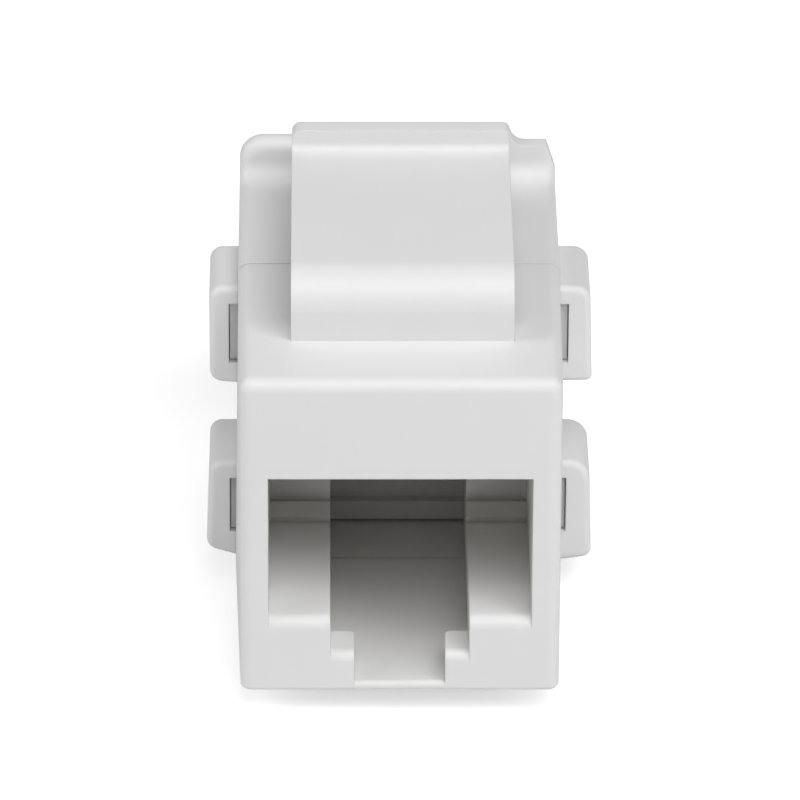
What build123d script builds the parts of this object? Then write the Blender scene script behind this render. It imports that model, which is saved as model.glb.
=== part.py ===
from build123d import *
import os
from math import cos, radians, sin

os.makedirs("parts", exist_ok=True)

# Keystone jack with a modular port. Millimetres, X to the right of the face, Y into the body, Z up.
# The origin is the centre of the port on the face.

# Front housing
FACE_WIDTH = 14.67
FACE_HEIGHT = 16.15
PORT_CENTRE = 7.5  # height of the port's centre above the lower edge of the face
FRONT_DEPTH = 11.83  # face to the seam
SEAM_WIDTH = 14.94  # at the deck: the sides spread a little from the face to the seam
BASE_SPREAD = 0.4  # the base is wider than the deck by this much at the seam
EDGE_ROUND = 0.55  # uprights of the face and the edges of the deck
BOTTOM_ROUND = 0.25
SEAM_GROOVE = 0.07  # open line that shows where the two housings meet
SEAM_LAND = 0.5  # inset of the faces that touch behind that line

# Port
PORT_WIDTH = 12.1
PORT_HEIGHT = 7.3
TAB_WIDTH = 6.4
TAB_DROP = 1.8  # catch shelf below the port's floor
SLOT_WIDTH = 4.2
SLOT_DROP = 1.54  # slot floor below the catch shelf
SHELF_DEPTH = 2.1
SHELF_CORNER = 0.3
SHOULDER_ROUND = 0.55
SHELF_ROUND = 0.45
SLOT_ROUND = 0.22
STOP_WALL = 0.6  # plug stops, from the seam forward
STOP_RISE = 2.85
STEP_LENGTH = 1.5  # where the port's floor rises towards the plug stops
STEP_RISE = 0.35
RELIEF_WIDTH = 0.65  # hollows across the floor before the rise and before the stops
RELIEF_DEPTH = 0.3
LIP_THICKNESS = 1.2  # wall in front of the contact chamber
CHAMBER_WIDTH = 9.5
CHAMBER_RISE = 2.6  # above the port's ceiling

# Latch arm on the deck
ARM_WIDTH = 10.2
ARM_OFFSET = 0.1  # to the right of the middle
ARM_START = 4.03
ARM_RISE = 3.17
ARM_ROUND = 1.7
ARM_THICKNESS = 1.25
ARM_ROOT = 1.6
ARM_ROOT_FILLET = 0.6
ARM_END_ROUND = 0.3
LIP_START = 17.43
LIP_END = 18.35
LIP_RISE = 0.96
LIP_BASE_FILLET = 0.3
LIP_LEFT_CORNER = 0.45
LIP_RIGHT_CORNER = 0.3

# Fixed catch under the body
CATCH_WIDTH = 8.0
CATCH_START = 8.0
CATCH_FLAT = 1.6
CATCH_SLOPE = 1.4
CATCH_DROP = 1.4

# Rear housing
REAR_END = 21.7
REAR_WALL = 1.25
HOOD_THICKNESS = 0.8
HOOD_FILLET = 0.87
HOOD_LEFT_RISE = 1.86  # above the deck
HOOD_RIGHT_RISE = 1.6
HOOD_MIDDLE_RISE = 2.42
HOOD_MIDDLE_LEFT = -4.6
HOOD_MIDDLE_RIGHT = 5.22
HOOD_MIDDLE_SPREAD = 0.35
HOOD_MIDDLE_FILLET = 0.7
HOOD_LEFT_CORNER = 1.15
HOOD_RIGHT_SLANT = 0.42  # facet that takes off the hood's right corner
HOOD_RIGHT_DROP = 1.3
HOOD_EDGE_ROUND = 0.15
INSERT_SEAT = 15.3  # back of the web that closes the port round the plug

# Ears on the rear housing, with the slots that hold the barbs of the wire cap
EAR_DEPTH = 4.3
EAR_FRONT_ROUND = 0.3
EAR_SLOT_GAP = 0.46  # slot open beyond the side of the housing at the deck
EAR_TOP_BAR = 0.87  # ear above its slot
UPPER_EAR_TOP = 1.28  # below the deck
UPPER_SLOT_HEIGHT = 3.08
LOWER_EAR_TOP = 10.51
LOWER_SLOT_HEIGHT = 2.85
# For each ear: the wall beyond its slot at the top and at the foot, the bar under the slot, how much
# the foot rises towards its outer end, and the radii of the outer corners at the top and the foot
UPPER_LEFT_EAR = (0.92, 0.9, 1.22, 0.2, 0.65, 0.6)
UPPER_RIGHT_EAR = (1.0, 1.13, 1.06, 0.05, 0.75, 0.25)
LOWER_LEFT_EAR = (0.95, 1.12, 1.6, 0.68, 0.6, 0.6)
LOWER_RIGHT_EAR = (1.09, 1.24, 1.76, 0.35, 1.0, 0.45)

# Contact insert
INSERT_FIT = 0.15  # clearance round the insert in the housings
INSERT_THICKNESS = 2.1
RECESS = 0.5  # back wall of the port behind the ledge at its foot
LEDGE_RISE = 1.13
TONGUE_ABOVE_CEILING = 0.3
TONGUE_THICKNESS = 1.05
TONGUE_NOSE = 2.55
TONGUE_FLAT = 0.02  # left between the two rounds of the nose
COMB_REACH = 2.4
COMB_DROP = 4.3  # below the tongue
COMB_FIN = 0.4
WIRE_WINDOW = 1.1

# Contact wires
CONTACTS = 8
CONTACT_PITCH = 1.016
CONTACT_SIZE = 0.4  # square section
CONTACT_GAP = 0.05  # wire to tongue
CONTACT_SLOPE = 18.0
CONTACT_END = 13.4
CONTACT_TAIL = 0.6  # into the board

# Circuit board
BOARD_THICKNESS = 1.2
CONTACT_HOLE = 0.7
BOARD_FIT = 0.2

# Terminal block and its blades
BLOCK_BASE = 1.5
TOWER_HEIGHT = 5.2
TOWER_WIDTH = 3.0
TOWER_FIT = 0.27  # tower to the side wall of the chamber
TOWER_CHAMFER = 0.4
TERMINAL_ROWS = 4
TERMINAL_PITCH = 3.2
WIRE_SLOT = 1.0
WIRE_SLOT_DEPTH = 4.0
BLADE_WIDTH = 2.2
BLADE_THICKNESS = 0.4
BLADE_LENGTH = 5.9
BLADE_FORK = 0.36
BLADE_FORK_DEPTH = 3.6
BLADE_MOUTH = 1.1
BLADE_FIT = 0.1

# Wire cap
CAP_INSET = 0.12  # side of the cap within the side of the rear housing
CAP_LENGTH = 8.4  # behind the rear housing
CAP_FIT = 0.1
CAP_WALL = 1.1
CAP_TOP_BELOW_DECK = 0.55
CAP_SLOPE_LENGTH = 4.4
CAP_SLOPE_DROP = 2.4
CAP_EDGE_ROUND = 0.6
CAP_RIM_ROUND = 0.48
CABLE_RADIUS = 3.0
CABLE_BELOW_CENTRE = 1.5
CABLE_CHAMFER = 0.3
EXIT_GAP = 1.4  # wire exits behind the rear housing
EXIT_LENGTH = 2.6
EXIT_HEIGHT = 1.5
LEG_THICKNESS = 0.4
LEG_FIT = 0.1
LEG_SETBACK = 0.3  # leg tip behind the front of the ear's slot
LEG_SIDE_FIT = 0.05
BARB_FIT = 0.04  # barb to the outer wall of its slot
BARB_LENGTH = 2.0

NEAR = 0.01  # half width of the search for edges at a known place

# Heights and places that follow from the sizes above
DECK = FACE_HEIGHT - PORT_CENTRE
BASE = -PORT_CENTRE
CEILING = PORT_HEIGHT / 2
FLOOR = -PORT_HEIGHT / 2
SHELF = FLOOR - TAB_DROP
SLOT_FLOOR = SHELF - SLOT_DROP
STOP_TOP = FLOOR + STOP_RISE
ARM_TOP = DECK + ARM_RISE
ARM_UNDERSIDE = ARM_TOP - ARM_THICKNESS
LIP_TOP = ARM_TOP + LIP_RISE
CATCH_BOTTOM = BASE - CATCH_DROP
SHELL_END = FRONT_DEPTH - SEAM_GROOVE
STOP_DEPTH = FRONT_DEPTH - STOP_WALL
STEP_DEPTH = STOP_DEPTH - STEP_LENGTH
RELIEF_START = STOP_DEPTH - RELIEF_WIDTH
HOOD_START = REAR_END - HOOD_THICKNESS
CAP_END = REAR_END + CAP_LENGTH
CAP_SLOPE_START = CAP_END - CAP_SLOPE_LENGTH
EXIT_START = REAR_END + EXIT_GAP
CAVITY_WIDTH = SEAM_WIDTH - 2 * REAR_WALL
CAVITY_TOP = DECK - REAR_WALL
CAVITY_BOTTOM = SLOT_FLOOR
BASE_WIDTH = SEAM_WIDTH + BASE_SPREAD
EAR_SLOT_REACH = SEAM_WIDTH / 2 + EAR_SLOT_GAP
CAP_WIDTH = SEAM_WIDTH - 2 * CAP_INSET
GROOVE_DEPTH = LEG_THICKNESS + LEG_FIT + CAP_INSET
BARB_REACH = EAR_SLOT_REACH - BARB_FIT - CAP_WIDTH / 2
TOWER_OUTER = CAVITY_WIDTH / 2 - TOWER_FIT
TOWER_INNER = TOWER_OUTER - TOWER_WIDTH


def behind(depth):
    """Plane parallel to the face, that far behind it, with X to the right and Z up."""
    return Plane.XZ.offset(-depth)


def centred_up(width, height):
    """Rectangle that stands on the current location, centred across it."""
    return Rectangle(width, height, align=(Align.CENTER, Align.MIN))


# Front housing: block, port, latch arm and catch, moulded as one piece
with BuildPart() as front_housing:
    with BuildSketch(behind(0)):
        with Locations((0, BASE)):
            centred_up(FACE_WIDTH, FACE_HEIGHT)
    with BuildSketch(behind(SHELL_END)):
        with BuildLine():
            Polyline(
                (-BASE_WIDTH / 2, BASE),
                (BASE_WIDTH / 2, BASE),
                (SEAM_WIDTH / 2, DECK),
                (-SEAM_WIDTH / 2, DECK),
                close=True,
            )
        make_face()
    loft()
    uprights = front_housing.edges().filter_by(Axis.Z).filter_by_position(Axis.Y, -NEAR, NEAR)
    fillet(uprights, EDGE_ROUND)
    deck_face = front_housing.faces().sort_by(Axis.Z)[-1]
    fillet(deck_face.edges().sort_by(Axis.Y)[:-1], EDGE_ROUND)
    base_face = front_housing.faces().sort_by(Axis.Z)[0]
    fillet(base_face.edges().sort_by(Axis.Y)[:-1], BOTTOM_ROUND)
    with BuildSketch(behind(SHELL_END)):
        with Locations((0, BASE + SEAM_LAND)):
            centred_up(SEAM_WIDTH - 2 * SEAM_LAND, FACE_HEIGHT - 2 * SEAM_LAND)
    extrude(amount=-SEAM_GROOVE)

    # Port, tab channel behind the shelf, and the two openings of the shelf itself
    with BuildSketch(behind(0)):
        Rectangle(PORT_WIDTH, PORT_HEIGHT)
    extrude(amount=-FRONT_DEPTH, mode=Mode.SUBTRACT)
    with BuildSketch(behind(SHELF_DEPTH)):
        with Locations((0, SLOT_FLOOR)):
            centred_up(TAB_WIDTH, FLOOR - SLOT_FLOOR)
    extrude(amount=SHELF_DEPTH - FRONT_DEPTH, mode=Mode.SUBTRACT)
    with BuildSketch(behind(0)):
        with Locations((0, SHELF)):
            centred_up(TAB_WIDTH, TAB_DROP)
        with Locations((0, SLOT_FLOOR)):
            centred_up(SLOT_WIDTH, SLOT_DROP)
    extrude(amount=-SHELF_DEPTH, mode=Mode.SUBTRACT)
    face_edges = front_housing.edges().filter_by(Axis.X).filter_by_position(Axis.Y, -NEAR, NEAR)
    for height, radius in ((FLOOR, SHOULDER_ROUND), (SHELF, SHELF_ROUND), (SLOT_FLOOR, SLOT_ROUND)):
        fillet(face_edges.filter_by_position(Axis.Z, height - NEAR, height + NEAR), radius)
    shelf_corners = (
        front_housing.edges()
        .filter_by(Axis.Z)
        .filter_by_position(Axis.Y, SHELF_DEPTH - NEAR, SHELF_DEPTH + NEAR)
        .filter_by_position(Axis.X, -SLOT_WIDTH / 2 - NEAR, SLOT_WIDTH / 2 + NEAR)
    )
    fillet(shelf_corners, SHELF_CORNER)

    # Chamber above the port for the tongue of the contact insert
    with BuildSketch(behind(LIP_THICKNESS)):
        with Locations((0, CEILING)):
            centred_up(CHAMBER_WIDTH, CHAMBER_RISE)
    extrude(amount=LIP_THICKNESS - FRONT_DEPTH, mode=Mode.SUBTRACT)

    # Rising floor and plug stops on both sides of the tab channel
    shoulder = (PORT_WIDTH - TAB_WIDTH) / 2
    shoulder_centre = (PORT_WIDTH + TAB_WIDTH) / 4
    for side in (-1, 1):
        with BuildSketch(Plane.YZ.offset(side * shoulder_centre)):
            with BuildLine():
                Polyline(
                    (STEP_DEPTH - RELIEF_WIDTH, FLOOR),
                    (STEP_DEPTH, FLOOR - RELIEF_DEPTH),
                    (STEP_DEPTH, FLOOR),
                    close=True,
                )
            make_face()
        extrude(amount=shoulder / 2, both=True, mode=Mode.SUBTRACT)
        with BuildSketch(Plane.YZ.offset(side * shoulder_centre)):
            with BuildLine():
                Polyline(
                    (STEP_DEPTH, FLOOR),
                    (RELIEF_START, FLOOR + STEP_RISE),
                    (STOP_DEPTH, FLOOR + STEP_RISE - RELIEF_DEPTH),
                    (STOP_DEPTH, FLOOR + STOP_RISE),
                    (FRONT_DEPTH, FLOOR + STOP_RISE),
                    (FRONT_DEPTH, FLOOR),
                    close=True,
                )
            make_face()
        extrude(amount=shoulder / 2, both=True)

    # Latch arm: riser, flat top and the raised finger lip at its free end
    with BuildSketch(Plane.YZ.offset(ARM_OFFSET)):
        with BuildLine():
            FilletPolyline(
                (ARM_START, DECK),
                (ARM_START, ARM_TOP),
                (LIP_START, ARM_TOP),
                (LIP_START, LIP_TOP),
                (LIP_END, LIP_TOP),
                (LIP_END, ARM_UNDERSIDE),
                (ARM_START + ARM_ROOT, ARM_UNDERSIDE),
                (ARM_START + ARM_ROOT, DECK),
                radius=(0, ARM_ROUND, LIP_BASE_FILLET, 0, 0, ARM_END_ROUND, ARM_ROOT_FILLET, 0),
                close=True,
            )
        make_face()
    extrude(amount=ARM_WIDTH / 2, both=True)
    lip_corners = (
        front_housing.edges()
        .filter_by(Axis.Y)
        .filter_by_position(Axis.Z, LIP_TOP - NEAR, LIP_TOP + NEAR)
        .sort_by(Axis.X)
    )
    fillet(lip_corners[0], LIP_LEFT_CORNER)
    fillet(lip_corners[-1], LIP_RIGHT_CORNER)

    # Fixed catch under the body
    with BuildSketch(Plane.YZ):
        with BuildLine():
            Polyline(
                (CATCH_START, BASE),
                (CATCH_START, CATCH_BOTTOM),
                (CATCH_START + CATCH_FLAT, CATCH_BOTTOM),
                (CATCH_START + CATCH_FLAT + CATCH_SLOPE, BASE),
                close=True,
            )
        make_face()
    extrude(amount=CATCH_WIDTH / 2, both=True)

front_housing.part.label = "front_housing"
export_step(front_housing.part, "parts/front_housing.step")


# Heights of the slots in the ears, bottom and top of each
upper_slot_top = DECK - UPPER_EAR_TOP - EAR_TOP_BAR
lower_slot_top = DECK - LOWER_EAR_TOP - EAR_TOP_BAR
upper_slot = (upper_slot_top - UPPER_SLOT_HEIGHT, upper_slot_top)
lower_slot = (lower_slot_top - LOWER_SLOT_HEIGHT, lower_slot_top)
slots = (upper_slot, lower_slot)
ears = (
    (-1, upper_slot, UPPER_LEFT_EAR),
    (1, upper_slot, UPPER_RIGHT_EAR),
    (-1, lower_slot, LOWER_LEFT_EAR),
    (1, lower_slot, LOWER_RIGHT_EAR),
)
half_width = SEAM_WIDTH / 2
half_base = BASE_WIDTH / 2
hood_left = DECK + HOOD_LEFT_RISE
hood_right = DECK + HOOD_RIGHT_RISE
hood_middle = DECK + HOOD_MIDDLE_RISE

# Rear housing: shell with the hood, the web round the end of the port, ears and side grooves
with BuildPart() as rear_housing:
    with BuildSketch(Plane.YZ):
        with BuildLine():
            FilletPolyline(
                (FRONT_DEPTH, BASE),
                (REAR_END, BASE),
                (REAR_END, DECK + HOOD_MIDDLE_RISE),
                (HOOD_START, DECK + HOOD_MIDDLE_RISE),
                (HOOD_START, DECK),
                (FRONT_DEPTH, DECK),
                radius=(0, 0, HOOD_EDGE_ROUND, HOOD_EDGE_ROUND, HOOD_FILLET, 0),
                close=True,
            )
        make_face()
    extrude(amount=half_base, both=True)
    with BuildSketch(behind(FRONT_DEPTH)):
        with BuildLine():
            FilletPolyline(
                (-half_base, BASE),
                (half_base, BASE),
                (half_width, hood_right),
                (HOOD_MIDDLE_RIGHT + HOOD_MIDDLE_SPREAD, hood_right),
                (HOOD_MIDDLE_RIGHT, hood_middle),
                (HOOD_MIDDLE_LEFT, hood_middle),
                (HOOD_MIDDLE_LEFT, hood_left),
                (-half_width, hood_left),
                radius=(EDGE_ROUND, EDGE_ROUND, 0, HOOD_MIDDLE_FILLET, 0, 0, 0, HOOD_LEFT_CORNER),
                close=True,
            )
        make_face()
    extrude(amount=FRONT_DEPTH - REAR_END, mode=Mode.INTERSECT)
    side_faces = rear_housing.faces().sort_by(Axis.X)
    deck_sides = side_faces[0].edges() + side_faces[-1].edges()
    deck_sides = deck_sides.filter_by_position(Axis.Z, DECK - NEAR, hood_middle)
    deck_sides = deck_sides.filter_by_position(Axis.Y, FRONT_DEPTH + NEAR, HOOD_START + NEAR)
    fillet(deck_sides, EDGE_ROUND)
    with BuildSketch(behind(FRONT_DEPTH)):
        with BuildLine():
            Polyline(
                (half_width - HOOD_RIGHT_SLANT, hood_right),
                (half_width + HOOD_RIGHT_SLANT, hood_right - 2 * HOOD_RIGHT_DROP),
                (half_width + HOOD_RIGHT_SLANT, hood_right),
                close=True,
            )
        make_face()
    extrude(amount=FRONT_DEPTH - REAR_END, mode=Mode.SUBTRACT)

    # Chamber for the insert, the board and the terminal block
    with BuildSketch(behind(INSERT_SEAT)):
        with Locations((0, CAVITY_BOTTOM)):
            centred_up(CAVITY_WIDTH, CAVITY_TOP - CAVITY_BOTTOM)
    extrude(amount=INSERT_SEAT - REAR_END, mode=Mode.SUBTRACT)
    # End of the port, of its tab channel and of the chamber for the tongue
    with BuildSketch(behind(FRONT_DEPTH)):
        with Locations((0, STOP_TOP)):
            centred_up(PORT_WIDTH, CEILING - STOP_TOP)
        with Locations((0, SLOT_FLOOR)):
            centred_up(TAB_WIDTH, STOP_TOP - SLOT_FLOOR)
        with Locations((0, CEILING)):
            centred_up(CHAMBER_WIDTH, CHAMBER_RISE)
    extrude(amount=FRONT_DEPTH - INSERT_SEAT, mode=Mode.SUBTRACT)

    # Ears, their slots, and the grooves that lead the snap legs of the cap to the slots
    ear_root = half_width - REAR_WALL / 2
    for side, (slot_bottom, slot_top), (top_wall, foot_wall, bar, rise, top_corner, foot_corner) in ears:
        ear_top = slot_top + EAR_TOP_BAR
        ear_foot = slot_bottom - bar
        with BuildSketch(behind(FRONT_DEPTH)):
            with BuildLine():
                FilletPolyline(
                    (side * ear_root, ear_foot),
                    (side * (EAR_SLOT_REACH + foot_wall), ear_foot + rise),
                    (side * (EAR_SLOT_REACH + top_wall), ear_top),
                    (side * ear_root, ear_top),
                    radius=(0, foot_corner, top_corner, 0),
                    close=True,
                )
            make_face()
        extrude(amount=-EAR_DEPTH)
    front_face = rear_housing.faces().filter_by(Axis.Y).sort_by(Axis.Y)[0]
    ear_rims = front_face.outer_wire().edges().filter_by(
        lambda edge: abs(edge.center().X) > half_base + NEAR
    )
    fillet(ear_rims, EAR_FRONT_ROUND)
    groove_floor = half_width - GROOVE_DEPTH
    slot_width = EAR_SLOT_REACH - groove_floor
    slot_middle = groove_floor + slot_width / 2
    for slot_bottom, slot_top in slots:
        with BuildSketch(behind(FRONT_DEPTH)):
            with Locations((-slot_middle, slot_bottom), (slot_middle, slot_bottom)):
                centred_up(slot_width, slot_top - slot_bottom)
        extrude(amount=FRONT_DEPTH - REAR_END, mode=Mode.SUBTRACT)

rear_housing.part.label = "rear_housing"
export_step(rear_housing.part, "parts/rear_housing.step")

# Contact insert: block behind the port, tongue above it and comb for the free ends of the wires
insert_end = INSERT_SEAT + INSERT_THICKNESS
tongue_bottom = CEILING + TONGUE_ABOVE_CEILING
tongue_top = tongue_bottom + TONGUE_THICKNESS
tongue_middle = (tongue_bottom + tongue_top) / 2
nose_round = (TONGUE_THICKNESS - TONGUE_FLAT) / 2
bend_radius = TONGUE_THICKNESS / 2 + CONTACT_GAP + CONTACT_SIZE / 2
contact_top = tongue_middle + bend_radius
with BuildPart() as contact_insert:
    with BuildSketch(behind(INSERT_SEAT)):
        with Locations((0, CAVITY_BOTTOM + INSERT_FIT)):
            centred_up(CAVITY_WIDTH - 2 * INSERT_FIT, CAVITY_TOP - CAVITY_BOTTOM - 2 * INSERT_FIT)
    extrude(amount=-INSERT_THICKNESS)
    with BuildSketch(behind(INSERT_SEAT)):
        with Locations((0, SLOT_FLOOR + LEDGE_RISE)):
            centred_up(TAB_WIDTH, STOP_TOP - SLOT_FLOOR - LEDGE_RISE)
    extrude(amount=-RECESS, mode=Mode.SUBTRACT)
    with BuildSketch(Plane.YZ):
        with BuildLine():
            FilletPolyline(
                (TONGUE_NOSE, tongue_bottom),
                (insert_end, tongue_bottom),
                (insert_end, tongue_top),
                (TONGUE_NOSE, tongue_top),
                radius=(nose_round, 0, 0, nose_round),
                close=True,
            )
        make_face()
    extrude(amount=CHAMBER_WIDTH / 2 - INSERT_FIT, both=True)
    with BuildSketch(behind(INSERT_SEAT - COMB_REACH)):
        with Locations((0, tongue_bottom - COMB_DROP)):
            with GridLocations(CONTACT_PITCH, 0, CONTACTS + 1, 1):
                centred_up(COMB_FIN, COMB_DROP)
    extrude(amount=-COMB_REACH)
    with BuildSketch(behind(INSERT_SEAT)):
        with Locations((0, tongue_top)):
            centred_up(CONTACTS * CONTACT_PITCH, WIRE_WINDOW)
    extrude(amount=-INSERT_THICKNESS, mode=Mode.SUBTRACT)

contact_insert.part.label = "contact_insert"
export_step(contact_insert.part, "parts/contact_insert.step")


def contact_wire(x):
    """Square spring wire: from the board along the tongue, round its nose, and down to the comb."""
    nose_centre = TONGUE_NOSE + TONGUE_THICKNESS / 2
    turn = 180 - CONTACT_SLOPE
    bend_end = (
        nose_centre - bend_radius * sin(radians(turn)),
        tongue_middle + bend_radius * cos(radians(turn)),
    )
    run = (CONTACT_END - bend_end[0]) / cos(radians(CONTACT_SLOPE))
    tail_end = insert_end + CONTACT_TAIL
    with BuildPart() as wire:
        with BuildLine(Plane.YZ.offset(x)):
            top = Line((tail_end, contact_top), (nose_centre, contact_top))
            bend = CenterArc((nose_centre, tongue_middle), bend_radius, 90, turn)
            Line(bend @ 1, (CONTACT_END, bend_end[1] - run * sin(radians(CONTACT_SLOPE))))
        with BuildSketch(Plane(origin=(x, tail_end, contact_top), x_dir=(1, 0, 0), z_dir=(0, -1, 0))):
            Rectangle(CONTACT_SIZE, CONTACT_SIZE)
        sweep()
    return wire.part


for number in range(CONTACTS):
    wire = contact_wire((number - (CONTACTS - 1) / 2) * CONTACT_PITCH)
    wire.label = f"contact_wire_{number + 1}"
    export_step(wire, f"parts/{wire.label}.step")

# Circuit board: plain plate with one hole for each contact wire
board_end = insert_end + BOARD_THICKNESS
with BuildPart() as circuit_board:
    with BuildSketch(behind(insert_end)):
        with Locations((0, CAVITY_BOTTOM + BOARD_FIT)):
            centred_up(CAVITY_WIDTH - 2 * BOARD_FIT, CAVITY_TOP - CAVITY_BOTTOM - 2 * BOARD_FIT)
        with Locations((0, contact_top)):
            with GridLocations(CONTACT_PITCH, 0, CONTACTS, 1):
                Circle(CONTACT_HOLE / 2, mode=Mode.SUBTRACT)
    extrude(amount=-BOARD_THICKNESS)

circuit_board.part.label = "circuit_board"
export_step(circuit_board.part, "parts/circuit_board.step")

# Terminal block: base plate and two columns of towers with a slot for each conductor
block_middle = (CAVITY_TOP + CAVITY_BOTTOM) / 2
towers_start = board_end + BLOCK_BASE
towers_end = towers_start + TOWER_HEIGHT
tower_middle = (TOWER_INNER + TOWER_OUTER) / 2
slot_floor_depth = towers_end - WIRE_SLOT_DEPTH
column_height = TERMINAL_ROWS * TERMINAL_PITCH
with BuildPart() as terminal_block:
    with BuildSketch(behind(board_end)):
        with Locations((0, CAVITY_BOTTOM + BOARD_FIT)):
            centred_up(CAVITY_WIDTH - 2 * BOARD_FIT, CAVITY_TOP - CAVITY_BOTTOM - 2 * BOARD_FIT)
    extrude(amount=-BLOCK_BASE)
    with BuildSketch(behind(towers_start)):
        with Locations((-tower_middle, block_middle), (tower_middle, block_middle)):
            Rectangle(TOWER_OUTER - TOWER_INNER, column_height)
    extrude(amount=-TOWER_HEIGHT)
    chamfer(terminal_block.faces().sort_by(Axis.Y)[-1].edges().filter_by(Axis.Z), TOWER_CHAMFER)
    chamfer(terminal_block.faces().sort_by(Axis.Y)[-2].edges().filter_by(Axis.Z), TOWER_CHAMFER)
    with BuildSketch(behind(slot_floor_depth)):
        with Locations((0, block_middle)):
            with GridLocations(0, TERMINAL_PITCH, 1, TERMINAL_ROWS):
                Rectangle(2 * TOWER_OUTER, WIRE_SLOT)
    extrude(amount=-WIRE_SLOT_DEPTH, mode=Mode.SUBTRACT)
    with BuildSketch(behind(board_end)):
        with Locations((0, block_middle)):
            with GridLocations(2 * tower_middle, TERMINAL_PITCH, 2, TERMINAL_ROWS):
                Rectangle(BLADE_THICKNESS + 2 * BLADE_FIT, BLADE_WIDTH + 2 * BLADE_FIT)
    extrude(amount=board_end - towers_end, mode=Mode.SUBTRACT)

terminal_block.part.label = "terminal_block"
export_step(terminal_block.part, "parts/terminal_block.step")


def terminal(x, z):
    """Forked blade that stands on the board, its mouth open to the rear."""
    with BuildPart() as blade:
        with BuildSketch(Plane.YZ.offset(x)):
            with Locations((board_end, z)):
                Rectangle(BLADE_LENGTH, BLADE_WIDTH, align=(Align.MIN, Align.CENTER))
            with BuildLine():
                fork_end = board_end + BLADE_LENGTH
                fork_floor = fork_end - BLADE_FORK_DEPTH
                mouth_floor = fork_end - (BLADE_MOUTH - BLADE_FORK) / 2
                Polyline(
                    (fork_floor, z - BLADE_FORK / 2),
                    (mouth_floor, z - BLADE_FORK / 2),
                    (fork_end, z - BLADE_MOUTH / 2),
                    (fork_end, z + BLADE_MOUTH / 2),
                    (mouth_floor, z + BLADE_FORK / 2),
                    (fork_floor, z + BLADE_FORK / 2),
                    close=True,
                )
            make_face(mode=Mode.SUBTRACT)
        extrude(amount=BLADE_THICKNESS / 2, both=True)
    return blade.part


terminal_number = 0
for x in (-tower_middle, tower_middle):
    for row in range(TERMINAL_ROWS):
        terminal_number += 1
        blade = terminal(x, block_middle + ((TERMINAL_ROWS - 1) / 2 - row) * TERMINAL_PITCH)
        blade.label = f"idc_terminal_{terminal_number}"
        export_step(blade, f"parts/{blade.label}.step")

# Wire cap: rear cover with the cable entry, wire exits at the sides and four snap legs
cap_start = REAR_END + CAP_FIT
cap_top = DECK - CAP_TOP_BELOW_DECK
tip = FRONT_DEPTH + LEG_SETBACK
leg_outer = CAP_WIDTH / 2
with BuildPart() as wire_cap:
    with BuildSketch(Plane.YZ):
        with BuildLine():
            FilletPolyline(
                (cap_start, CATCH_BOTTOM),
                (CAP_END, CATCH_BOTTOM),
                (CAP_END, cap_top - CAP_SLOPE_DROP),
                (CAP_SLOPE_START, cap_top),
                (cap_start, cap_top),
                radius=(0, CAP_EDGE_ROUND, CAP_EDGE_ROUND, CAP_EDGE_ROUND, 0),
                close=True,
            )
        make_face()
    extrude(amount=CAP_WIDTH / 2, both=True)
    cap_sides = wire_cap.faces().sort_by(Axis.X)
    cap_rim = cap_sides[0].edges().sort_by(Axis.Y)[1:] + cap_sides[-1].edges().sort_by(Axis.Y)[1:]
    fillet(cap_rim, CAP_RIM_ROUND)
    with BuildSketch(Plane.YZ):
        with BuildLine():
            Polyline(
                (cap_start, CATCH_BOTTOM + CAP_WALL),
                (CAP_END - CAP_WALL, CATCH_BOTTOM + CAP_WALL),
                (CAP_END - CAP_WALL, cap_top - CAP_SLOPE_DROP - CAP_WALL),
                (CAP_SLOPE_START, cap_top - CAP_WALL),
                (cap_start, cap_top - CAP_WALL),
                close=True,
            )
        make_face()
    extrude(amount=CAP_WIDTH / 2 - CAP_WALL, both=True, mode=Mode.SUBTRACT)
    with BuildSketch(behind(CAP_END)):
        with Locations((0, -CABLE_BELOW_CENTRE)):
            Circle(CABLE_RADIUS)
    extrude(amount=CAP_WALL, mode=Mode.SUBTRACT)
    mouth = wire_cap.edges().filter_by(GeomType.CIRCLE).filter_by(
        lambda edge: abs(edge.radius - CABLE_RADIUS) < NEAR
    )
    chamfer(mouth.sort_by(Axis.Y)[-1], CABLE_CHAMFER)
    with BuildSketch(Plane.YZ):
        with Locations((EXIT_START, block_middle)):
            with GridLocations(0, TERMINAL_PITCH, 1, TERMINAL_ROWS):
                Rectangle(EXIT_LENGTH, EXIT_HEIGHT, align=(Align.MIN, Align.CENTER))
    extrude(amount=CAP_WIDTH, both=True, mode=Mode.SUBTRACT)

    # Snap legs: thin strips in the grooves of the rear housing, each with a barb in its slot
    for slot_bottom, slot_top in slots:
        leg_bottom = slot_bottom + LEG_SIDE_FIT
        leg_height = slot_top - slot_bottom - 2 * LEG_SIDE_FIT
        leg_middle = leg_outer - LEG_THICKNESS / 2
        with BuildSketch(behind(tip)):
            with Locations((-leg_middle, leg_bottom), (leg_middle, leg_bottom)):
                centred_up(LEG_THICKNESS, leg_height)
        extrude(amount=tip - cap_start)
        barb_middle = leg_outer + BARB_REACH / 2
        with BuildSketch(behind(tip)):
            with Locations((-barb_middle, leg_bottom), (barb_middle, leg_bottom)):
                centred_up(BARB_REACH, leg_height)
        extrude(amount=-BARB_LENGTH)

wire_cap.part.label = "wire_cap"
export_step(wire_cap.part, "parts/wire_cap.step")
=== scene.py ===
import math

import bpy
from mathutils import Matrix, Vector


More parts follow.
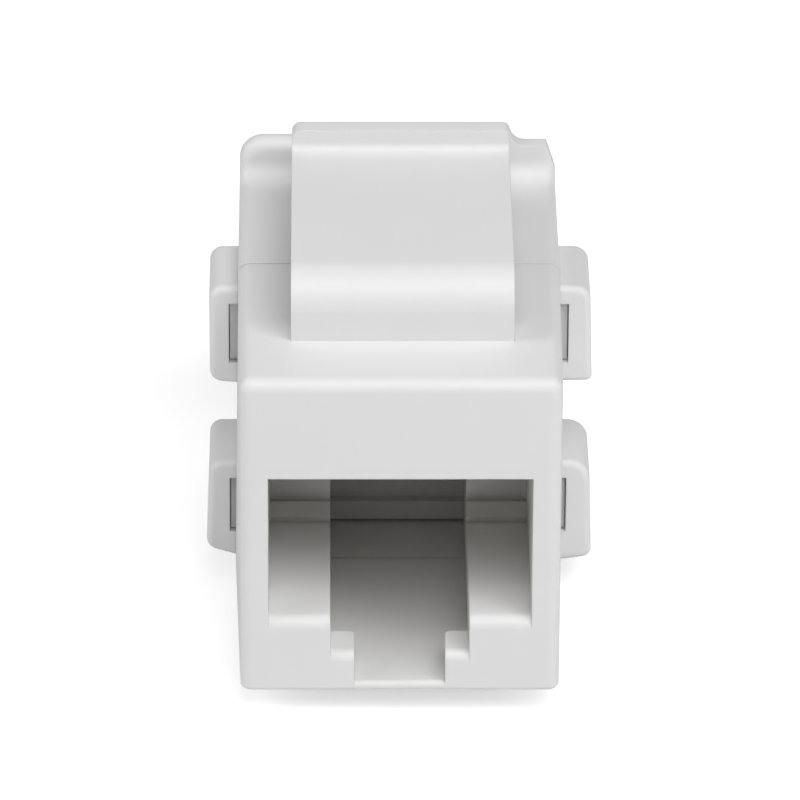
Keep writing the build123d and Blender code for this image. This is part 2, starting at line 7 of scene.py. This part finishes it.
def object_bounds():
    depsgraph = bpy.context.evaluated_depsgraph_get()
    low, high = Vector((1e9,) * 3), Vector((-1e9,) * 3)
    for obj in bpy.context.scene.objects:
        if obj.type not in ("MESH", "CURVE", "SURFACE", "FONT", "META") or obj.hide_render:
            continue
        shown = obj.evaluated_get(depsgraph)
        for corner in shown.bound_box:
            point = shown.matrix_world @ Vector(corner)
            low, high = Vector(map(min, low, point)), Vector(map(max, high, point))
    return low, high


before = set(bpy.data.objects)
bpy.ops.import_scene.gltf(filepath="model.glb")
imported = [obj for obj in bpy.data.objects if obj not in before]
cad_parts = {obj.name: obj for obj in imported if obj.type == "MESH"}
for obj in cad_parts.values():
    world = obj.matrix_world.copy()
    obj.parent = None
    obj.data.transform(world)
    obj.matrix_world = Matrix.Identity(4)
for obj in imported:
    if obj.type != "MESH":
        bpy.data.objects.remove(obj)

cad_box = [list(corner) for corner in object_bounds()]

# Camera: a long lens in front of the jack, looking down on its face and deck. It stands a little to
# the left of the jack and is turned towards it, so that the face's upper edge lies just above the
# middle of the picture.
MM = 0.001
VIEW_DOWN = math.radians(28.0)
TURN_RIGHT = math.radians(0.54)
LENS_DISTANCE = 366.0 * MM
LENS_LEFT = 3.5 * MM
AIM_HEIGHT = 7.738 * MM
PICTURE_SCALE = 22.1  # pixels of the picture for each millimetre at the face's upper edge
PICTURE_WIDTH = 800
SENSOR_WIDTH = 36.0
NEAREST_SEEN = 10.0 * MM
FARTHEST_SEEN = 10000.0 * MM

camera_data = bpy.data.cameras.new("camera")
camera_data.sensor_width = SENSOR_WIDTH
camera_data.lens = PICTURE_SCALE * LENS_DISTANCE / MM / PICTURE_WIDTH * SENSOR_WIDTH
camera_data.clip_start = NEAREST_SEEN
camera_data.clip_end = FARTHEST_SEEN
camera = bpy.data.objects.new("camera", camera_data)
bpy.context.scene.collection.objects.link(camera)
to_lens = Vector((0.0, -math.cos(VIEW_DOWN), math.sin(VIEW_DOWN)))
camera.location = Vector((-LENS_LEFT, 0.0, AIM_HEIGHT)) + to_lens * LENS_DISTANCE
tilt = Matrix.Rotation(math.radians(90.0) - VIEW_DOWN, 3, "X")
turn = Matrix.Rotation(-TURN_RIGHT, 3, "Y")
camera.rotation_euler = (tilt @ turn).to_euler()
bpy.context.scene.camera = camera


# Studio: a large soft box high in front and a little to the right, weaker ones on the left and low
# on the right, and even white surroundings. They leave only a faint shadow to the left of the jack.
# Places, aims and sizes are in millimetres, and powers in watts.
KEY_PLACE = (96, -198, 335)
KEY_AIM = (0, 4, 2)
KEY_SIZE = (330, 250)
KEY_POWER = 1.0
FILL_PLACE = (-310, -60, 250)
FILL_AIM = (0, 6, 0)
FILL_SIZE = (240, 240)
FILL_POWER = 0.53
SIDE_PLACE = (300, -173, 200)
SIDE_AIM = (0, 4, 0)
SIDE_SIZE = (200, 160)
SIDE_POWER = 0.28
SURROUNDINGS_STRENGTH = 0.193
WHITE = (1.0, 1.0, 1.0, 1.0)


def soft_box(name, place, aim, size, power):
    """Hang a rectangular soft box at its place and turn it to its aim."""
    data = bpy.data.lights.new(name, "AREA")
    data.shape = "RECTANGLE"
    data.size = size[0] * MM
    data.size_y = size[1] * MM
    data.energy = power
    lamp = bpy.data.objects.new(name, data)
    bpy.context.scene.collection.objects.link(lamp)
    lamp.location = Vector(place) * MM
    towards = (Vector(aim) - Vector(place)).normalized()
    lamp.rotation_euler = towards.to_track_quat("-Z", "Y").to_euler()


soft_box("key_box", KEY_PLACE, KEY_AIM, KEY_SIZE, KEY_POWER)
soft_box("fill_box", FILL_PLACE, FILL_AIM, FILL_SIZE, FILL_POWER)
soft_box("side_box", SIDE_PLACE, SIDE_AIM, SIDE_SIZE, SIDE_POWER)

surroundings = bpy.data.worlds.new("surroundings")
surroundings.use_nodes = True
sky = surroundings.node_tree.nodes["Background"]
sky.inputs["Color"].default_value = WHITE
sky.inputs["Strength"].default_value = SURROUNDINGS_STRENGTH
bpy.context.scene.world = surroundings
bpy.context.scene.view_settings.view_transform = "Standard"


# Tabletop: a sheet of matt white card that the jack rests on. It glows a little for the camera, so
# that the ground of the picture is white.
CARD_REACH = 1500.0 * MM
CARD_TONES = ((0.84, 0.84, 0.84, 1.0), (0.86, 0.86, 0.86, 1.0))
CARD_CLOUDS = 40.0  # soft clouds of the card along a metre
CARD_ROUGHNESS = 0.9
CARD_GLOSS = 0.1
CARD_GLOW = (0.5, 0.5, 0.5, 1.0)
CARD_GAP = 0.01 * MM  # keeps the card clear of the jack's flat underside

floor_height = cad_box[0][2] - CARD_GAP
tabletop_mesh = bpy.data.meshes.new("tabletop")
tabletop_mesh.from_pydata(
    [
        (-CARD_REACH, -CARD_REACH, floor_height),
        (CARD_REACH, -CARD_REACH, floor_height),
        (CARD_REACH, CARD_REACH, floor_height),
        (-CARD_REACH, CARD_REACH, floor_height),
    ],
    [],
    [(0, 1, 2, 3)],
)
tabletop = bpy.data.objects.new("tabletop", tabletop_mesh)
bpy.context.scene.collection.objects.link(tabletop)

card = bpy.data.materials.new("white_card")
card.use_nodes = True
card_nodes = card.node_tree.nodes
card_links = card.node_tree.links
card_shader = card_nodes["Principled BSDF"]
card_shader.inputs["Roughness"].default_value = CARD_ROUGHNESS
card_shader.inputs["Specular IOR Level"].default_value = CARD_GLOSS
card_shader.inputs["Emission Color"].default_value = CARD_GLOW
card_clouds = card_nodes.new("ShaderNodeTexNoise")
card_clouds.inputs["Scale"].default_value = CARD_CLOUDS
card_tones = card_nodes.new("ShaderNodeValToRGB")
card_tones.color_ramp.elements[0].color = CARD_TONES[0]
card_tones.color_ramp.elements[1].color = CARD_TONES[1]
card_links.new(card_clouds.outputs["Fac"], card_tones.inputs["Fac"])
card_links.new(card_tones.outputs["Color"], card_shader.inputs["Base Color"])
card_sight = card_nodes.new("ShaderNodeLightPath")
card_links.new(card_sight.outputs["Is Camera Ray"], card_shader.inputs["Emission Strength"])
tabletop_mesh.materials.append(card)


# Front housing, rear housing and wire cap: injection-moulded white plastic with a fine satin skin
# from the mould. The housings meet at the seam behind the face, and the cap's legs snap into the
# slots of the ears.
SKIN_TONE = (0.79, 0.79, 0.79)
SKIN_PALE_TONE = (0.81, 0.81, 0.81)
SKIN_ROUGHNESS = 0.38
SKIN_GRAIN = 9000.0  # grains of the mould's texture along a metre
SKIN_GRAIN_DETAIL = 2.0
SKIN_GRAIN_DEPTH = 0.004 * MM
SKIN_GRAIN_STRENGTH = 0.5
SKIN_GRAIN_DULLING = 0.12  # roughness that the grain adds at its highest
SKIN_FLOW = 160.0  # soft clouds of the melt along a metre
SKIN_FLOW_DETAIL = 3.0
EDGE_ROUND = 0.09 * MM  # edges are never quite sharp in the mould
EDGE_SAMPLES = 4
PLASTIC_IOR = 1.5
PLASTIC_GLOSS = 0.35
LIGHT_SHARE = 0.25  # share of the light that spreads inside the plastic
LIGHT_DEPTH = 0.4 * MM  # how far it spreads, alike for red, green and blue
LIGHT_SPREAD = (1.0, 1.0, 1.0)
MIX_FIRST_COLOR = 6  # a Mix node's sockets for its two colours and their result
MIX_SECOND_COLOR = 7
MIX_COLOR_RESULT = 2


def moulded_skin_group():
    """Shared effect: tone, roughness and height of plastic from a finely textured mould."""
    group = bpy.data.node_groups.new("moulded_skin", "ShaderNodeTree")
    group.interface.new_socket("Tone", in_out="INPUT", socket_type="NodeSocketColor")
    group.interface.new_socket("Pale Tone", in_out="INPUT", socket_type="NodeSocketColor")
    group.interface.new_socket("Roughness", in_out="INPUT", socket_type="NodeSocketFloat")
    group.interface.new_socket("Color", in_out="OUTPUT", socket_type="NodeSocketColor")
    group.interface.new_socket("Roughness", in_out="OUTPUT", socket_type="NodeSocketFloat")
    group.interface.new_socket("Height", in_out="OUTPUT", socket_type="NodeSocketFloat")
    nodes = group.nodes
    links = group.links
    given = nodes.new("NodeGroupInput")
    made = nodes.new("NodeGroupOutput")
    place = nodes.new("ShaderNodeTexCoord")
    flow = nodes.new("ShaderNodeTexNoise")
    flow.inputs["Scale"].default_value = SKIN_FLOW
    flow.inputs["Detail"].default_value = SKIN_FLOW_DETAIL
    links.new(place.outputs["Object"], flow.inputs["Vector"])
    grain = nodes.new("ShaderNodeTexNoise")
    grain.inputs["Scale"].default_value = SKIN_GRAIN
    grain.inputs["Detail"].default_value = SKIN_GRAIN_DETAIL
    links.new(place.outputs["Object"], grain.inputs["Vector"])
    tones = nodes.new("ShaderNodeMix")
    tones.data_type = "RGBA"
    links.new(flow.outputs["Fac"], tones.inputs["Factor"])
    links.new(given.outputs["Tone"], tones.inputs[MIX_FIRST_COLOR])
    links.new(given.outputs["Pale Tone"], tones.inputs[MIX_SECOND_COLOR])
    links.new(tones.outputs[MIX_COLOR_RESULT], made.inputs["Color"])
    spread = nodes.new("ShaderNodeMath")
    spread.operation = "MULTIPLY_ADD"
    spread.inputs[1].default_value = SKIN_GRAIN_DULLING
    links.new(grain.outputs["Fac"], spread.inputs[0])
    links.new(given.outputs["Roughness"], spread.inputs[2])
    links.new(spread.outputs["Value"], made.inputs["Roughness"])
    links.new(grain.outputs["Fac"], made.inputs["Height"])
    return group


moulded_skin = moulded_skin_group()


def moulded_plastic(name, tone, pale_tone, roughness):
    """White plastic: the mould's skin sets its colour, its roughness and its fine relief."""
    material = bpy.data.materials.new(name)
    material.use_nodes = True
    nodes = material.node_tree.nodes
    links = material.node_tree.links
    shader = nodes["Principled BSDF"]
    shader.inputs["IOR"].default_value = PLASTIC_IOR
    shader.inputs["Specular IOR Level"].default_value = PLASTIC_GLOSS
    shader.inputs["Subsurface Weight"].default_value = LIGHT_SHARE
    shader.inputs["Subsurface Radius"].default_value = LIGHT_SPREAD
    shader.inputs["Subsurface Scale"].default_value = LIGHT_DEPTH
    skin = nodes.new("ShaderNodeGroup")
    skin.node_tree = moulded_skin
    skin.inputs["Tone"].default_value = (*tone, 1.0)
    skin.inputs["Pale Tone"].default_value = (*pale_tone, 1.0)
    skin.inputs["Roughness"].default_value = roughness
    links.new(skin.outputs["Color"], shader.inputs["Base Color"])
    links.new(skin.outputs["Roughness"], shader.inputs["Roughness"])
    edge = nodes.new("ShaderNodeBevel")
    edge.samples = EDGE_SAMPLES
    edge.inputs["Radius"].default_value = EDGE_ROUND
    bump = nodes.new("ShaderNodeBump")
    bump.inputs["Distance"].default_value = SKIN_GRAIN_DEPTH
    bump.inputs["Strength"].default_value = SKIN_GRAIN_STRENGTH
    links.new(edge.outputs["Normal"], bump.inputs["Normal"])
    links.new(skin.outputs["Height"], bump.inputs["Height"])
    links.new(bump.outputs["Normal"], shader.inputs["Normal"])
    return material


def dress(node, material):
    """Give a piece of the jack its one material."""
    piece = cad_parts[node]
    piece.data.materials.clear()
    piece.data.materials.append(material)


housing_plastic = moulded_plastic("housing_plastic", SKIN_TONE, SKIN_PALE_TONE, SKIN_ROUGHNESS)
for node in ("front_housing", "rear_housing", "wire_cap"):
    dress(node, housing_plastic)


# Contact insert and terminal block: moulded in a duller white plastic that stands more heat. Its
# tone, darker than the housings', is painted shade for the back of the port, where the insert sits.
# The
# # insert sits in the rear housing and carries the contacts, and the block holds the blades behind
# # the board.
INSERT_SHADE_TONE = (0.62, 0.62, 0.62)
INSERT_PALE_SHADE_TONE = (0.65, 0.65, 0.65)
INSERT_ROUGHNESS = 0.42

# the darker insert tone paints shade into the back of the port
insert_shaded_plastic = moulded_plastic("insert_shaded_plastic", INSERT_SHADE_TONE, INSERT_PALE_SHADE_TONE, INSERT_ROUGHNESS)
for node in ("contact_insert", "terminal_block"):
    dress(node, insert_shaded_plastic)


# Contact wires: eight square spring wires of bronze, plated with gold over nickel. They are bent
# round the tongue of the insert, and their tails are soldered into the board.
GOLD_TONE = (0.84, 0.72, 0.52)
GOLD_WORN_TONE = (0.74, 0.62, 0.44)
GOLD_ROUGHNESS = 0.18
STOCK_MARKS = 3000.0  # faint marks of the rolled stock along a metre
STOCK_MARKS_DULLING = 0.15  # roughness that the marks add at their strongest
CONTACTS = 8


def plated_metal(name, tone, worn_tone, roughness):
    """Rolled or stamped metal with a plated surface and faint marks of the stock."""
    material = bpy.data.materials.new(name)
    material.use_nodes = True
    nodes = material.node_tree.nodes
    links = material.node_tree.links
    shader = nodes["Principled BSDF"]
    shader.inputs["Metallic"].default_value = 1.0
    place = nodes.new("ShaderNodeTexCoord")
    marks = nodes.new("ShaderNodeTexNoise")
    marks.inputs["Scale"].default_value = STOCK_MARKS
    links.new(place.outputs["Object"], marks.inputs["Vector"])
    tones = nodes.new("ShaderNodeValToRGB")
    tones.color_ramp.elements[0].color = (*worn_tone, 1.0)
    tones.color_ramp.elements[1].color = (*tone, 1.0)
    links.new(marks.outputs["Fac"], tones.inputs["Fac"])
    links.new(tones.outputs["Color"], shader.inputs["Base Color"])
    spread = nodes.new("ShaderNodeMath")
    spread.operation = "MULTIPLY_ADD"
    spread.inputs[1].default_value = STOCK_MARKS_DULLING
    spread.inputs[2].default_value = roughness
    links.new(marks.outputs["Fac"], spread.inputs[0])
    links.new(spread.outputs["Value"], shader.inputs["Roughness"])
    return material


gold_plate = plated_metal("gold_plate", GOLD_TONE, GOLD_WORN_TONE, GOLD_ROUGHNESS)
for number in range(1, CONTACTS + 1):
    dress(f"contact_wire_{number}", gold_plate)


# Insulation-displacement terminals: eight forked blades, stamped from bronze strip and tinned. They
# stand on the board, each in its own tower of the terminal block.
TIN_TONE = (0.72, 0.72, 0.70)
TIN_WORN_TONE = (0.60, 0.60, 0.60)
TIN_ROUGHNESS = 0.3

tin_plate = plated_metal("tin_plate", TIN_TONE, TIN_WORN_TONE, TIN_ROUGHNESS)
for number in range(1, CONTACTS + 1):
    dress(f"idc_terminal_{number}", tin_plate)


# Circuit board: glass cloth in resin under a coat of green lacquer, cut to the chamber of the rear
# housing. It lies between the contact insert and the terminal block.
LACQUER_TONE = (0.02, 0.12, 0.05)
LACQUER_PALE_TONE = (0.03, 0.16, 0.07)
LACQUER_ROUGHNESS = 0.3
LACQUER_COAT = 0.4
CLOTH_THREADS = 1600.0  # threads of the glass cloth along a metre
CLOTH_DEPTH = 0.003 * MM


def lacquered_board():
    """Green lacquer that is paler over the threads of the cloth under it."""
    material = bpy.data.materials.new("board_lacquer")
    material.use_nodes = True
    nodes = material.node_tree.nodes
    links = material.node_tree.links
    shader = nodes["Principled BSDF"]
    shader.inputs["Roughness"].default_value = LACQUER_ROUGHNESS
    shader.inputs["Coat Weight"].default_value = LACQUER_COAT
    place = nodes.new("ShaderNodeTexCoord")
    threads = []
    for direction in ("X", "Z"):
        thread = nodes.new("ShaderNodeTexWave")
        thread.bands_direction = direction
        thread.inputs["Scale"].default_value = CLOTH_THREADS / math.tau
        links.new(place.outputs["Object"], thread.inputs["Vector"])
        threads.append(thread)
    cloth = nodes.new("ShaderNodeMath")
    cloth.operation = "MULTIPLY"
    links.new(threads[0].outputs["Fac"], cloth.inputs[0])
    links.new(threads[1].outputs["Fac"], cloth.inputs[1])
    tones = nodes.new("ShaderNodeValToRGB")
    tones.color_ramp.elements[0].color = (*LACQUER_TONE, 1.0)
    tones.color_ramp.elements[1].color = (*LACQUER_PALE_TONE, 1.0)
    links.new(cloth.outputs["Value"], tones.inputs["Fac"])
    links.new(tones.outputs["Color"], shader.inputs["Base Color"])
    bump = nodes.new("ShaderNodeBump")
    bump.inputs["Distance"].default_value = CLOTH_DEPTH
    links.new(cloth.outputs["Value"], bump.inputs["Height"])
    links.new(bump.outputs["Normal"], shader.inputs["Normal"])
    return material


dress("circuit_board", lacquered_board())
